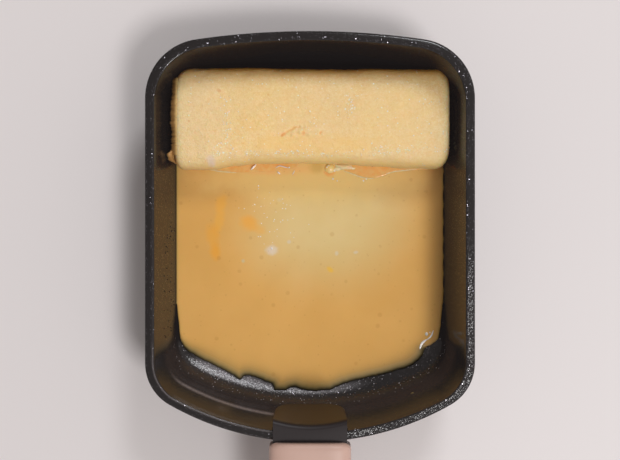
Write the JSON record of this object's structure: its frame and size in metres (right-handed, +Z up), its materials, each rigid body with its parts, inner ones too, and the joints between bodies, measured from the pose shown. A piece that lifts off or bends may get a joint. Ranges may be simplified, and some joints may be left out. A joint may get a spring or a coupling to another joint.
{
  "type": "rolled omelette in its pan",
  "caption": "Rolled omelette lying along the far wall of a deep, nearly square non-stick pan with a clip-on handle, with the next thin layer of egg setting on the pan's floor.",
  "frame": {"origin": "middle of the pan's flat base, on the surface that the pan stands on", "axes": "+Z up, +Y from the handle towards the far wall where the roll lies, +X along the roll"},
  "size_m": [0.1612, 0.3574, 0.0662],
  "materials": {
    "pan_coating": "satin",
    "liquid_egg": "gloss",
    "cooked_egg": "satin",
    "clamp_plastic": "satin",
    "grip_plastic": "satin"
  },
  "bodies": {
    "root": {"pan": "pan_coating", "egg_sheet": "liquid_egg", "egg_roll": "cooked_egg", "clamp_jaw": "clamp_plastic", "clamp_block": "clamp_plastic", "handle_grip": "grip_plastic"}
  },
  "joints": []
}
